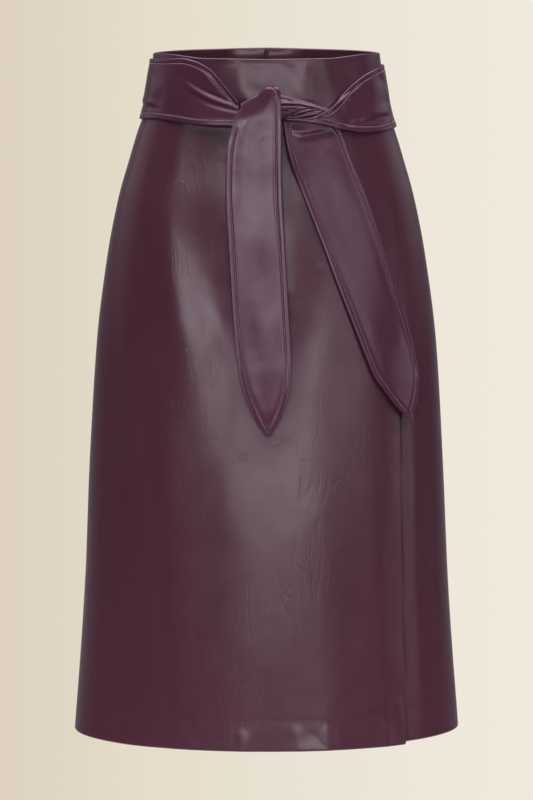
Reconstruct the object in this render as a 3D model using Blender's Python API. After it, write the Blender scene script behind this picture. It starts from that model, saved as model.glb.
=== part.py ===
"""An A-line midi skirt in soft faux leather: mock-wrap front, waistband, centre-back zip and tie belt.

Metres, +Z up. The skirt is filled out as it is when worn and faces -Y, with +X at the wearer's left.
Its origin is the centre of the waistband ring at its mid height, where the waist holds it.
Left and right in the names are the wearer's.
"""

import math
from collections import namedtuple

import bmesh
import bpy
from mathutils import Matrix, Vector

# Heights are above the origin, bearings are degrees round the body from centre front towards +X.
HEM_HEIGHT = -0.7375
UNDER_HEM_HEIGHT = -0.7345  # the layer under the wrap is cut shorter, so that it never shows below
BAND_WIDTH = 0.066
SEAM_GAP = 0.0003

WALL = 0.0015  # faux leather and its knitted backing
TURNING = 0.0015  # the second layer where an edge is turned in
HEM_TURN_UP = 0.035
FACING_WIDTH = 0.030
STEP_WIDTH = 0.001
UNDERLAP = 0.110  # how far the under layer runs in behind the wrap
UNDER_SINK = 0.0034  # its face lies behind the doubled edge of the wrap

BAND_PROUD = 0.0008  # the doubled, interfaced band stands proud of the panels below it
BAND_WALL = 0.0032
BELT_LIFT = 0.0014
BELT_WALL = 0.0026

FRONT, LEFT_SIDE, BACK, RIGHT_SIDE = 0.0, 90.0, 180.0, 270.0

# The outer face of the skirt, a row for each height. Fullness is how far the section swells past an ellipse
# between front and side, as a share of its depth.
Section = namedtuple("Section", "height half_width front_depth back_depth fullness")
FORM = (
    Section(-0.738, 0.2196, 0.1650, 0.1650, 0.015),
    Section(-0.580, 0.2080, 0.1530, 0.1580, 0.030),
    Section(-0.420, 0.2008, 0.1400, 0.1500, 0.045),
    Section(-0.290, 0.1925, 0.1265, 0.1440, 0.060),
    Section(-0.200, 0.1809, 0.1165, 0.1375, 0.060),
    Section(-0.130, 0.1674, 0.1090, 0.1265, 0.060),
    Section(-0.085, 0.1546, 0.1045, 0.1150, 0.060),
    Section(-0.055, 0.1456, 0.1010, 0.1075, 0.060),
    Section(-0.030, 0.1368, 0.0980, 0.1010, 0.060),
    Section(+0.000, 0.1318, 0.0945, 0.0955, 0.060),
    Section(+0.033, 0.1272, 0.0912, 0.0912, 0.060),
    Section(+0.040, 0.1265, 0.0904, 0.0904, 0.060),
)

# The top edge of the waistband dips at centre front and climbs at centre back, the same on both sides.
TopEdge = namedtuple("TopEdge", "bearing height")
TOP_EDGE = (
    TopEdge(0, 0.0283),
    TopEdge(32, 0.0292),
    TopEdge(45, 0.0315),
    TopEdge(60, 0.0336),
    TopEdge(90, 0.0338),
    TopEdge(135, 0.0362),
    TopEdge(180, 0.0380),
)

# The free edge of the wrap falls almost straight, so the skirt flares away from it.
WrapEdge = namedtuple("WrapEdge", "height across")
WRAP_EDGE = (
    WrapEdge(-0.738, 0.1576),
    WrapEdge(-0.580, 0.1525),
    WrapEdge(-0.370, 0.1492),
    WrapEdge(-0.200, 0.1468),
    WrapEdge(-0.120, 0.1437),
    WrapEdge(-0.060, 0.1408),
    WrapEdge(-0.030, 0.1345),
)

# The belt round the waist: its upper and lower edges, how far it clears the skirt, and how thick it is.
Round = namedtuple("Round", "bearing upper lower lift thickness")
BELT_BACK = (
    Round(90, 0.0204, -0.0500, BELT_LIFT, BELT_WALL),
    Round(135, 0.0198, -0.0505, BELT_LIFT, BELT_WALL),
    Round(180, 0.0200, -0.0495, BELT_LIFT, BELT_WALL),
    Round(225, 0.0230, -0.0465, BELT_LIFT, BELT_WALL),
    Round(270, 0.0272, -0.0420, BELT_LIFT, BELT_WALL),
)
BELT_RIGHT = (
    Round(-90, 0.0272, -0.0420, BELT_LIFT, BELT_WALL),
    Round(-62, 0.0276, -0.0400, BELT_LIFT, BELT_WALL),
    Round(-46, 0.0288, -0.0418, BELT_LIFT, BELT_WALL),
    Round(-37, 0.0255, -0.0442, BELT_LIFT, 0.0030),
    Round(-28, 0.0168, -0.0458, BELT_LIFT, 0.0036),
    Round(-20, -0.0010, -0.0464, BELT_LIFT, 0.0044),
    Round(-12.6, -0.0205, -0.0465, BELT_LIFT, 0.0052),
)
BELT_LEFT = (
    Round(8, -0.0378, -0.0394, 0.0047, 0.0034),
    Round(17, -0.0376, -0.0420, 0.0047, 0.0038),
    Round(27, -0.0305, -0.0462, 0.0047, 0.0040),
    Round(33, -0.0215, -0.0500, 0.0047, 0.0036),
    Round(39, -0.0090, -0.0525, 0.0047, 0.0032),
    Round(47, 0.0020, -0.0545, 0.0024, BELT_WALL),
    Round(58, 0.0115, -0.0545, BELT_LIFT, BELT_WALL),
    Round(75, 0.0185, -0.0520, BELT_LIFT, BELT_WALL),
    Round(90, 0.0204, -0.0500, BELT_LIFT, BELT_WALL),
)
KNOT = (
    Round(-12.3, -0.0212, -0.0460, BELT_LIFT, 0.0055),
    Round(-6, -0.0130, -0.0462, BELT_LIFT, 0.0080),
    Round(0, -0.0085, -0.0455, BELT_LIFT, 0.0088),
    Round(6.5, -0.0100, -0.0372, BELT_LIFT, 0.0088),
    Round(14, -0.0150, -0.0362, BELT_LIFT, 0.0075),
    Round(21.5, -0.0203, -0.0335, BELT_LIFT, 0.0055),
    Round(26, -0.0258, -0.0292, BELT_LIFT, 0.0038),
)

# The hanging ends: the bearings of both edges at each height, and how far the cloth's middle clears the skirt.
Hang = namedtuple("Hang", "height right left clear")
TAIL_FRONT = (
    Hang(-0.0060, 0.5, 4.6, 0.0026),
    Hang(-0.0030, 0.2, 5.0, 0.0055),
    Hang(-0.0046, -0.6, 5.5, 0.0108),
    Hang(-0.0125, -3.8, 6.5, 0.0128),
    Hang(-0.0215, -10.4, 6.6, 0.0130),
    Hang(-0.0380, -14.1, 6.5, 0.0124),
    Hang(-0.0520, -15.2, 6.3, 0.0098),
    Hang(-0.0800, -16.4, 6.0, 0.0052),
    Hang(-0.1160, -15.8, 5.8, 0.0030),
    Hang(-0.1825, -13.4, 6.6, 0.0024),
    Hang(-0.2500, -11.4, 7.4, 0.0024),
    Hang(-0.3080, -9.5, 8.1, 0.0024),
    Hang(-0.3345, -7.9, 7.6, 0.0026),
    Hang(-0.3576, -5.4, 5.8, 0.0030),
    Hang(-0.3750, -2.9, 3.6, 0.0034),
    Hang(-0.3880, -0.3, 1.3, 0.0036),
)
TAIL_SIDE = (
    Hang(-0.0400, 7.4, 32.0, 0.0027),
    Hang(-0.0530, 7.9, 35.4, 0.0026),
    Hang(-0.0732, 9.0, 37.1, 0.0024),
    Hang(-0.1063, 12.2, 39.9, 0.0024),
    Hang(-0.1406, 16.0, 42.9, 0.0024),
    Hang(-0.1739, 19.8, 45.8, 0.0024),
    Hang(-0.2160, 24.2, 49.4, 0.0024),
    Hang(-0.2684, 30.0, 54.4, 0.0024),
    Hang(-0.3000, 33.7, 57.6, 0.0024),
    Hang(-0.3230, 36.8, 58.9, 0.0025),
    Hang(-0.3410, 41.0, 57.9, 0.0028),
    Hang(-0.3570, 45.2, 55.9, 0.0031),
    Hang(-0.3685, 49.4, 54.0, 0.0033),
    Hang(-0.3740, 52.2, 53.2, 0.0034),
)

ZIP_LENGTH = 0.200
ZIP_TAPE_WIDTH = 0.024
ZIP_TAPE_WALL = 0.0008
PULL_LENGTH = 0.0130
PULL_WIDTH = 0.0048
PULL_WALL = 0.0012
PIVOT_HEIGHT = 0.0345
PIN_RADIUS = 0.0006
EYE_RADIUS = 0.00155
PIN_CLEARANCE = 0.00035
SLIDER_WIDTH = 0.0066
SLIDER_LENGTH = 0.0076
SLIDER_WALL = 0.0010
EAR_WALL = 0.0010


def clear_scene():
    for obj in list(bpy.data.objects):
        bpy.data.objects.remove(obj, do_unlink=True)


def smooth(points):
    """A function of x through (x, y) points in rising x, which turns softly and never overshoots them."""
    xs, ys = zip(*points)
    rises = [(y1 - y0) / (x1 - x0) for x0, x1, y0, y1 in zip(xs, xs[1:], ys, ys[1:])]
    inner = [2 * a * b / (a + b) if a * b > 0 else 0.0 for a, b in zip(rises, rises[1:])]
    slopes = [rises[0], *inner, rises[-1]]

    def at(x):
        x = min(max(x, xs[0]), xs[-1])
        k = max(i for i in range(len(xs) - 1) if xs[i] <= x)
        span = xs[k + 1] - xs[k]
        t = (x - xs[k]) / span
        rest = 1 - t
        ends = rest * rest * (1 + 2 * t) * ys[k] + t * t * (1 + 2 * rest) * ys[k + 1]
        return ends + t * rest * span * (rest * slopes[k] - t * slopes[k + 1])

    return at


def columns(rows, key):
    """A smooth function for each other column of a table, by the column named key."""
    others = [name for name in rows[0]._fields if name != key]
    return {
        name: smooth([(getattr(row, key), getattr(row, name)) for row in rows]) for name in others
    }


def ease(x):
    x = min(max(x, 0.0), 1.0)
    return x * x * (3 - 2 * x)


def mix(a, b, t):
    return a + (b - a) * t


form = columns(FORM, "height")
top_edge_by_bearing = smooth(TOP_EDGE)
wrap_edge_across = smooth(WRAP_EDGE)


def top_edge(bearing):
    return top_edge_by_bearing(abs((bearing + 180) % 360 - 180))


def band_seam(bearing):
    return top_edge(bearing) - BAND_WIDTH


def section_point(bearing, height):
    angle = math.radians(bearing)
    depth = form["front_depth" if math.cos(angle) >= 0 else "back_depth"](height)
    swell = 1 + form["fullness"](height) * math.sin(angle) ** 2
    return Vector(
        (form["half_width"](height) * math.sin(angle), -depth * math.cos(angle) * swell, height)
    )


def on_form(bearing, height, out=0.0):
    """A point on the skirt's outer face, moved out from it squarely."""
    step = 0.01
    rise = 0.0001
    along = section_point(bearing + step, height) - section_point(bearing - step, height)
    down = section_point(bearing, height - rise) - section_point(bearing, height + rise)
    return section_point(bearing, height) + down.cross(along).normalized() * out


def degrees_for(distance, bearing, height):
    """The change in bearing that makes this distance along the section."""
    run = (section_point(bearing + 0.5, height) - section_point(bearing - 0.5, height)).length
    return distance / run


def principled(name, colour, roughness, metallic=0.0):
    material = bpy.data.materials.new(name)
    material.use_nodes = True
    shader = material.node_tree.nodes["Principled BSDF"]
    shader.inputs["Base Color"].default_value = (*colour, 1.0)
    shader.inputs["Roughness"].default_value = roughness
    shader.inputs["Metallic"].default_value = metallic
    return material


def add_object(name, mesh_builder, material, flat=False):
    """An object from a bmesh, with its faces turned out and its own copy of the material."""
    bmesh.ops.recalc_face_normals(mesh_builder, faces=mesh_builder.faces)
    mesh = bpy.data.meshes.new(name)
    mesh_builder.to_mesh(mesh)
    mesh_builder.free()
    if not flat:
        mesh.shade_smooth()
        mesh.set_sharp_from_angle(angle=math.radians(35))
    own = material.copy()
    own.name = name
    mesh.materials.append(own)
    obj = bpy.data.objects.new(name, mesh)
    bpy.context.scene.collection.objects.link(obj)
    return obj


def wall(name, outer, inner, material):
    """A closed wall of cloth between two grids of points with the same rows and columns."""
    builder = bmesh.new()
    faces = [[[builder.verts.new(point) for point in row] for row in grid] for grid in (outer, inner)]
    rows, across = len(outer), len(outer[0])
    for grid in faces:
        for i in range(rows - 1):
            for j in range(across - 1):
                builder.faces.new((grid[i][j], grid[i][j + 1], grid[i + 1][j + 1], grid[i + 1][j]))
    top, bottom = [(i, 0) for i in range(rows)], [(i, across - 1) for i in range(rows)]
    start, end = [(0, j) for j in range(across)], [(rows - 1, j) for j in range(across)]
    for rim in (top, bottom, start, end):
        for (i0, j0), (i1, j1) in zip(rim, rim[1:]):
            builder.faces.new(
                (faces[0][i0][j0], faces[0][i1][j1], faces[1][i1][j1], faces[1][i0][j0])
            )
    return add_object(name, builder, material)


# Stations down a panel, as shares of the way from the band seam to the hem: closer where the hip curves.
PANEL_ROWS = (0.0, 0.03, 0.07, 0.12, 0.18, 0.25, 0.33, 0.42, 0.52, 0.63, 0.74, 0.85)
PANEL_STEP_DEGREES = 7.5


def panel(name, start, end, material, hem=HEM_HEIGHT, sink=None, faced_end=False):
    """A skirt panel from bearing start(height) to end(height). Its hem is turned up, and a faced end turned in."""
    nominal_top = band_seam(FRONT)
    turn = 1 - HEM_TURN_UP / (nominal_top - hem)
    step = STEP_WIDTH / (nominal_top - hem)
    rows = [(share, 0.0) for share in PANEL_ROWS if share < turn - step]
    rows += [(turn - step, 0.0), (turn, 1.0), (1.0, 1.0)]
    count = math.ceil((end(hem) - start(hem)) / PANEL_STEP_DEGREES)
    across = [(i / count, 0.0, 0.0) for i in range(count + (not faced_end))]
    if faced_end:
        across = [(i / count, FACING_WIDTH + STEP_WIDTH, 0.0) for i in range(count + 1)]
        across += [(1.0, FACING_WIDTH, 1.0), (1.0, FACING_WIDTH / 2, 1.0), (1.0, 0.0, 1.0)]
    outer, inner = [], []
    for share_down, hem_turned in rows:
        level = mix(nominal_top, hem, share_down)
        outer.append([])
        inner.append([])
        for share_across, short_of_end, edge_turned in across:
            stop = end(level) - degrees_for(short_of_end, end(level), level)
            bearing = mix(start(level), stop, share_across)
            height = mix(band_seam(bearing) - SEAM_GAP, hem, share_down)
            out = -sink(bearing, level) if sink else 0.0
            thickness = WALL + TURNING * max(hem_turned, edge_turned)
            outer[-1].append(on_form(bearing, height, out))
            inner[-1].append(on_form(bearing, height, out - thickness))
    return wall(name, outer, inner, material)


def seam_at(bearing, side):
    """The edge of a piece at a seam: half the gap away from it, on one side."""
    return lambda height: bearing + side * degrees_for(SEAM_GAP / 2, bearing, height)


def wrap_edge(height):
    """The bearing of the wrap's free edge."""
    return math.degrees(math.asin(wrap_edge_across(height) / form["half_width"](height)))


def under_start(height):
    return wrap_edge(height) - degrees_for(UNDERLAP, 0.6 * wrap_edge(height), height)


def under_sink(bearing, height):
    """The under layer lies behind the wrap and comes forward to the side seam."""
    past = (bearing - wrap_edge(height)) / (LEFT_SIDE - wrap_edge(height))
    return UNDER_SINK * (1 - ease(past))


def make_panels(leather):
    panel("wrap_front", seam_at(-LEFT_SIDE, 1), wrap_edge, leather, faced_end=True)
    panel(
        "under_front",
        under_start,
        seam_at(LEFT_SIDE, -1),
        leather,
        hem=UNDER_HEM_HEIGHT,
        sink=under_sink,
    )
    panel("back_left", seam_at(LEFT_SIDE, 1), seam_at(BACK, -1), leather)
    panel("back_right", seam_at(BACK, 1), seam_at(RIGHT_SIDE, -1), leather)


BAND_ROWS = 4
BAND_STEP_DEGREES = 7.5


def make_waistband(leather):
    spans = {
        "waistband_front": (-LEFT_SIDE, LEFT_SIDE),
        "waistband_back_left": (LEFT_SIDE, BACK),
        "waistband_back_right": (BACK, RIGHT_SIDE),
    }
    for name, (start, end) in spans.items():
        first, last = seam_at(start, 1)(0.0), seam_at(end, -1)(0.0)
        count = round((end - start) / BAND_STEP_DEGREES)
        outer, inner = [], []
        for i in range(count + 1):
            bearing = mix(first, last, i / count)
            heights = [top_edge(bearing) - BAND_WIDTH * j / BAND_ROWS for j in range(BAND_ROWS + 1)]
            outer.append([on_form(bearing, z, BAND_PROUD) for z in heights])
            inner.append([on_form(bearing, z, BAND_PROUD - BAND_WALL) for z in heights])
        wall(name, outer, inner, leather)


BELT_ROWS = 6


def belt_stretch(name, table, step_degrees, leather, crown=0.0, start_gap=False, end_gap=False):
    """A stretch of belt round the waist. Crown swells it between its edges, where folds pile up."""
    column = columns(table, "bearing")
    first, last = table[0].bearing, table[-1].bearing
    start = seam_at(first, 1)(0.0) if start_gap else first
    end = seam_at(last, -1)(0.0) if end_gap else last
    count = math.ceil((end - start) / step_degrees)
    outer, inner = [], []
    for i in range(count + 1):
        bearing = mix(start, end, i / count)
        upper, lower, lift, thickness = (
            column[key](bearing) for key in ("upper", "lower", "lift", "thickness")
        )
        outer.append([])
        inner.append([])
        for j in range(BELT_ROWS + 1):
            share = j / BELT_ROWS
            height = mix(upper, lower, share)
            edge = 1 - crown * (1 - math.sin(math.pi * share))
            outer[-1].append(on_form(bearing, height, lift + thickness * edge))
            inner[-1].append(on_form(bearing, height, lift))
    return wall(name, outer, inner, leather)


TAIL_ROWS = 26
TAIL_ACROSS = 6


def belt_tail(name, table, leather):
    """A hanging belt end. Its path is a line of heights and clearances, which may turn back over itself."""
    run = [0.0]
    for above, below in zip(table, table[1:]):
        run.append(run[-1] + math.hypot(above.height - below.height, above.clear - below.clear))
    column = {
        key: smooth([(s, getattr(row, key)) for s, row in zip(run, table)]) for key in Hang._fields
    }
    outer, inner = [], []
    step = 0.0005
    for i in range(TAIL_ROWS + 1):
        s = run[-1] * (i / TAIL_ROWS) ** 1.35
        fall = column["height"](s + step) - column["height"](s - step)
        away = column["clear"](s + step) - column["clear"](s - step)
        length = math.hypot(fall, away)
        rise_out, clear_out = away / length, -fall / length
        outer.append([])
        inner.append([])
        for j in range(TAIL_ACROSS + 1):
            bearing = mix(column["right"](s), column["left"](s), j / TAIL_ACROSS)
            for side, grid in ((0.5, outer), (-0.5, inner)):
                height = column["height"](s) + side * BELT_WALL * rise_out
                clear = column["clear"](s) + side * BELT_WALL * clear_out
                grid[-1].append(on_form(bearing, height, clear))
    return wall(name, outer, inner, leather)


def make_belt(leather):
    belt_stretch("belt_back", BELT_BACK, 7.5, leather, start_gap=True, end_gap=True)
    belt_stretch("belt_right", BELT_RIGHT, 5.5, leather, start_gap=True)
    belt_stretch("belt_left", BELT_LEFT, 5.0, leather, end_gap=True)
    belt_stretch("belt_knot", KNOT, 3.5, leather, crown=0.55)
    belt_tail("belt_tail_front", TAIL_FRONT, leather)
    belt_tail("belt_tail_side", TAIL_SIDE, leather)


def block(builder, size, centre):
    matrix = Matrix.Translation(centre) @ Matrix.Diagonal((*size, 1.0))
    bmesh.ops.create_cube(builder, size=1.0, matrix=matrix)


def rod(builder, radius, length, centre, sides=16):
    """A round bar along X."""
    matrix = Matrix.Translation(centre) @ Matrix.Rotation(math.pi / 2, 4, "Y")
    bmesh.ops.create_cone(
        builder,
        cap_ends=True,
        segments=sides,
        radius1=radius,
        radius2=radius,
        depth=length,
        matrix=matrix,
    )


def boolean(obj, operation, other):
    modifier = obj.modifiers.new(operation.title(), "BOOLEAN")
    modifier.operation = operation
    modifier.object = other
    other.hide_render = True
    other.display_type = "WIRE"


def make_zip_tape(cloth):
    """The tape of the closed zip, flat behind the centre-back seam."""
    out = BAND_PROUD - BAND_WALL - SEAM_GAP
    rows, across = 10, 4
    outer, inner = [], []
    for i in range(rows + 1):
        height = top_edge(BACK) - 0.002 - ZIP_LENGTH * i / rows
        half = degrees_for(ZIP_TAPE_WIDTH / 2, BACK, height)
        bearings = [BACK + half * (2 * j / across - 1) for j in range(across + 1)]
        outer.append([on_form(b, height, out) for b in bearings])
        inner.append([on_form(b, height, out - ZIP_TAPE_WALL) for b in bearings])
    wall("zip_tape", outer, inner, cloth)


def make_zip_hardware(metal):
    """The slider with its pin, and the pull tab whose eye turns on that pin."""
    slider_foot = PIVOT_HEIGHT + EYE_RADIUS - SLIDER_LENGTH
    face = on_form(BACK, slider_foot, BAND_PROUD + SEAM_GAP).y
    plate = face + SLIDER_WALL
    pivot = Vector((0.0, plate + PIN_CLEARANCE + EYE_RADIUS, PIVOT_HEIGHT))
    eye_width = SLIDER_WIDTH - 2 * EAR_WALL - 2 * PIN_CLEARANCE

    builder = bmesh.new()
    slider_centre = (0.0, face + SLIDER_WALL / 2, PIVOT_HEIGHT - SLIDER_LENGTH / 2 + EYE_RADIUS)
    block(builder, (SLIDER_WIDTH, SLIDER_WALL, SLIDER_LENGTH), slider_centre)
    slider = add_object("zip_slider", builder, metal, flat=True)
    ear_depth = pivot.y + EYE_RADIUS - face
    for side in (-1, 1):
        builder = bmesh.new()
        x = side * (SLIDER_WIDTH - EAR_WALL) / 2
        block(builder, (EAR_WALL, ear_depth, 2 * EYE_RADIUS), (x, face + ear_depth / 2, PIVOT_HEIGHT))
        name = "ear_left" if side > 0 else "ear_right"
        boolean(slider, "UNION", add_object(name, builder, metal, flat=True))
    builder = bmesh.new()
    rod(builder, PIN_RADIUS, SLIDER_WIDTH - EAR_WALL, pivot, sides=12)
    boolean(slider, "UNION", add_object("pin", builder, metal, flat=True))

    builder = bmesh.new()
    rod(builder, EYE_RADIUS, eye_width, (0.0, 0.0, 0.0), sides=20)
    pull = add_object("zip_pull", builder, metal)
    builder = bmesh.new()
    half, sides = PULL_WIDTH / 2, 10
    round_centre = half - PULL_LENGTH
    outline = [(-eye_width / 2, -EYE_RADIUS / 2), (-half, round_centre)]
    for k in range(1, sides):
        angle = math.pi * (1 + k / sides)
        outline.append((half * math.cos(angle), round_centre + half * math.sin(angle)))
    outline += [(half, round_centre), (eye_width / 2, -EYE_RADIUS / 2)]
    flat_face = builder.faces.new([builder.verts.new((x, -PULL_WALL / 2, z)) for x, z in outline])
    grown = bmesh.ops.extrude_face_region(builder, geom=[flat_face])["geom"]
    moved = [item for item in grown if isinstance(item, bmesh.types.BMVert)]
    bmesh.ops.translate(builder, verts=moved, vec=(0.0, PULL_WALL, 0.0))
    blade = add_object("pull_blade", builder, metal, flat=True)
    builder = bmesh.new()
    rod(builder, PIN_RADIUS + PIN_CLEARANCE, 2 * eye_width, (0.0, 0.0, 0.0))
    bore = add_object("pull_bore", builder, metal, flat=True)
    boolean(pull, "UNION", blade)
    boolean(pull, "DIFFERENCE", bore)
    for obj in (pull, blade, bore):
        obj.location = pivot


def main():
    clear_scene()
    leather = principled("plum_faux_leather", (0.066, 0.022, 0.034), 0.36)
    tape = principled("zip_tape_weave", (0.020, 0.010, 0.014), 0.85)
    metal = principled("lacquered_zinc", (0.060, 0.030, 0.040), 0.35, 0.8)
    make_panels(leather)
    make_waistband(leather)
    make_belt(leather)
    make_zip_tape(tape)
    make_zip_hardware(metal)


main()
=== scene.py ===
"""An A-line midi skirt in plum faux leather, filled out as worn: mock wrap, waistband, zip and tie belt.

Metres, +Z up, the front faces -Y and +X is the wearer's left. Bearings are degrees round the body from centre
front towards +X, heights are above the middle of the waistband. Left and right are the wearer's.
"""

import math
from collections import namedtuple

import bpy
import numpy as np
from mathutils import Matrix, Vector, noise
from mathutils.kdtree import KDTree


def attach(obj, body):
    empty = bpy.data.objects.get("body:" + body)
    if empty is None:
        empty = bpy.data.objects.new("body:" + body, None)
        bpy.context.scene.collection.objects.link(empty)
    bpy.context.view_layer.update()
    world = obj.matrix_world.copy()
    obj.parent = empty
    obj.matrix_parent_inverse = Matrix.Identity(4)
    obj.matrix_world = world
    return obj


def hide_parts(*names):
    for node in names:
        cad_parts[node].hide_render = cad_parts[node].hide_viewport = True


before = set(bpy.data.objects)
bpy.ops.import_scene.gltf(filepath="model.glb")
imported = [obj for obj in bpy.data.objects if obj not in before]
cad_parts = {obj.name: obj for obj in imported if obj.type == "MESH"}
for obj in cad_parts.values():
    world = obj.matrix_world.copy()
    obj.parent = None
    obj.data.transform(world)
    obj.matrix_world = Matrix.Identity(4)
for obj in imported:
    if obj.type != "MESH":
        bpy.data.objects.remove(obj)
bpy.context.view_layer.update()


# ---- Camera, floor and light -------------------------------------------------------------------------------
# A long lens looks a little down at the skirt. The pale floor lies where the wearer would stand. The room is
# a pale studio: wide soft boxes in front, weaker ones at the sides and back, all of them out of the picture.


def add_object(name, data):
    obj = bpy.data.objects.new(name, data)
    bpy.context.scene.collection.objects.link(obj)
    return obj


scene = bpy.context.scene
scene.view_settings.view_transform = "Standard"
scene.view_settings.look = "None"

camera_distance = 5.062
camera_tilt = math.radians(5.6)
camera_aim = Vector((0.0, 0.0, -0.3606))
camera_side = Vector((0.0, -math.cos(camera_tilt), math.sin(camera_tilt)))
camera = add_object("camera", bpy.data.cameras.new("camera"))
camera.data.lens = 200
camera.data.sensor_width = 36
camera.data.clip_end = 100
camera.location = camera_aim + camera_distance * camera_side
camera.rotation_euler = (math.pi / 2 - camera_tilt, 0.0, 0.0)
scene.camera = camera


def table(columns, *rows):
    """Rows of numbers whose columns have names."""
    row = namedtuple("row", columns)
    return [row(*values) for values in rows]


# The soft boxes are set in degrees: azimuth 0 is towards the camera and + to its right. The main one is
# straight in front, a strip is at the left and weaker boxes are at the right. Between them the room is dim,
# so the leather keeps its colour, and it is bright overhead.
SOFT_BOXES = table(
    "azimuth elevation half_width half_height soft_sides soft_ends roll glow",
    (5, 4.1, 19, 3.6, 7, 3.5, 0, 5.0),
    (-31, 9.7, 14, 1.9, 6, 1.0, -5, 10.0),
    (36, 6.0, 18, 3.5, 12, 2.0, 0, 1.8),
    (38, 13.5, 14, 3.0, 8, 2.0, 0, 1.3),
    (80, 1.5, 9, 4.0, 5, 2.0, 0, 1.2),
    (-118, 12.0, 18, 7.0, 10, 4.0, 0, 0.4),
    (125, 12.0, 18, 7.0, 10, 4.0, 0, 0.4),
)


def set_inputs(node, inputs):
    """Give a node's inputs their values, or link them to other nodes' outputs."""
    for key, value in inputs.items():
        if isinstance(value, bpy.types.NodeSocket):
            node.id_data.links.new(value, node.inputs[key])
        else:
            node.inputs[key].default_value = value


def add_node(tree, kind, inputs=None, out=0, **settings):
    """Add a node with its settings and inputs, and give back one of its outputs."""
    node = tree.nodes.new("ShaderNode" + kind)
    for key, value in settings.items():
        setattr(node, key, value)
    set_inputs(node, inputs or {})
    return node.outputs[out] if node.outputs else None


def maths(tree, operation, *values):
    return add_node(tree, "Math", dict(enumerate(values)), operation=operation)


def ranged(tree, value, *limits, soft=False):
    """A value taken from between the first two limits to between the last two, or to between 0 and 1."""
    kind = "SMOOTHSTEP" if soft else "LINEAR"
    return add_node(tree, "MapRange", dict(enumerate((value, *limits))), interpolation_type=kind)


def linear(code):
    """The linear colour of an sRGB hex code."""
    parts = [int(code[i : i + 2], 16) / 255 for i in (1, 3, 5)]
    return (*[c / 12.92 if c <= 0.04045 else ((c + 0.055) / 1.055) ** 2.4 for c in parts], 1.0)


room = bpy.data.worlds.new("studio_room")
room.use_nodes = True
scene.world = room
tree = room.node_tree
tree.nodes.clear()
sides = add_node(tree, "SeparateXYZ", {0: add_node(tree, "TexCoord", out="Generated")}).node.outputs
turned = maths(tree, "ARCTAN2", sides["X"], maths(tree, "MULTIPLY", sides["Y"], -1.0))
azimuth = maths(tree, "DEGREES", turned)
elevation = maths(tree, "DEGREES", maths(tree, "ARCSINE", sides["Z"]))
overhead = ranged(tree, elevation, 28.0, 62.0, 0.08, 3.9, soft=True)
behind = ranged(tree, maths(tree, "ABSOLUTE", azimuth), 110.0, 180.0, 0.0, 0.15, soft=True)
glow = maths(tree, "ADD", overhead, behind)
angles = add_node(tree, "CombineXYZ", {0: azimuth, 1: elevation})
for box in SOFT_BOXES:
    soft_sides, soft_ends = box.soft_sides / box.half_width, box.soft_ends / box.half_height
    box_axes = {
        "Vector": angles,
        "Location": (box.azimuth, box.elevation, 0.0),
        "Rotation": (0.0, 0.0, math.radians(box.roll)),
        "Scale": (box.half_width, box.half_height, 1.0),
    }
    placed = add_node(tree, "Mapping", box_axes, vector_type="TEXTURE")
    reach = add_node(tree, "VectorMath", {0: placed}, operation="ABSOLUTE")
    full, none = (1 - soft_sides, 1 - soft_ends, -1.0), (1 + soft_sides, 1 + soft_ends, 1.0)
    fade = {6: reach, 7: full, 8: none, 9: (1.0, 1.0, 1.0), 10: (0.0, 0.0, 0.0)}
    inside = add_node(tree, "MapRange", fade, 1, data_type="FLOAT_VECTOR", interpolation_type="SMOOTHSTEP")
    parts = add_node(tree, "SeparateXYZ", {0: inside}).node.outputs
    glow = maths(tree, "MULTIPLY_ADD", maths(tree, "MULTIPLY", parts[0], parts[1]), box.glow, glow)
lighting = add_node(tree, "Background", {0: (0.995, 0.965, 1.025, 1.0), 1: glow})
# What the camera sees of it is a cream backdrop, with painted shade that makes it a little darker at the
# left.
backdrop = add_node(tree, "ValToRGB", {0: ranged(tree, sides["X"], -0.06, 0.06)})
creams = backdrop.node.color_ramp.elements
creams[0].color = linear("#ded1c1")
creams[1].color = linear("#f0eadd")
creams.new(0.3).color = linear("#e6ddcb")
creams.new(0.8).color = linear("#eee7da")
seen = add_node(tree, "Background", {0: backdrop, 1: 1.0})
by_camera = add_node(tree, "LightPath", out="Is Camera Ray")
add_node(tree, "OutputWorld", {0: add_node(tree, "MixShader", {0: by_camera, 1: lighting, 2: seen})})


def new_material(name):
    material = bpy.data.materials.new(name)
    material.use_nodes = True
    return material, material.node_tree, material.node_tree.nodes["Principled BSDF"]


def noise_node(tree, place, scale, detail, out=0):
    return add_node(tree, "TexNoise", {"Vector": place, "Scale": scale, "Detail": detail}, out)


def dyed(tree, factor, dark, light):
    colours = {"Factor": factor, "A": linear(dark), "B": linear(light)}
    return add_node(tree, "Mix", colours, "Result", data_type="RGBA")


# The floor is painted board, which fades into the backdrop at its edge.
painted_board, tree, shader = new_material("painted_board")
place = add_node(tree, "TexCoord", out="Object")
mottle = noise_node(tree, place, 6.0, 4.0)
set_inputs(shader, {"Base Color": dyed(tree, mottle, "#ddd5c8", "#e4ddd1"), "Roughness": 0.7})
far = add_node(tree, "VectorMath", {0: place}, "Value", operation="LENGTH")
gone = ranged(tree, far, 0.55, 1.40, 0.0, 1.0, soft=True)
faded = {0: gone, 1: shader.outputs[0], 2: add_node(tree, "BsdfTransparent")}
set_inputs(tree.nodes["Material Output"], {"Surface": add_node(tree, "MixShader", faded)})
mesh = bpy.data.meshes.new("floor")
corners = [(1.42 * math.cos(math.tau * i / 64), 1.42 * math.sin(math.tau * i / 64), 0.0) for i in range(64)]
mesh.from_pydata(corners, [], [list(range(64))])
mesh.materials.append(painted_board)
floor = add_object("floor", mesh)
floor.location = (0.0, 0.0, -1.10)


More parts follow.
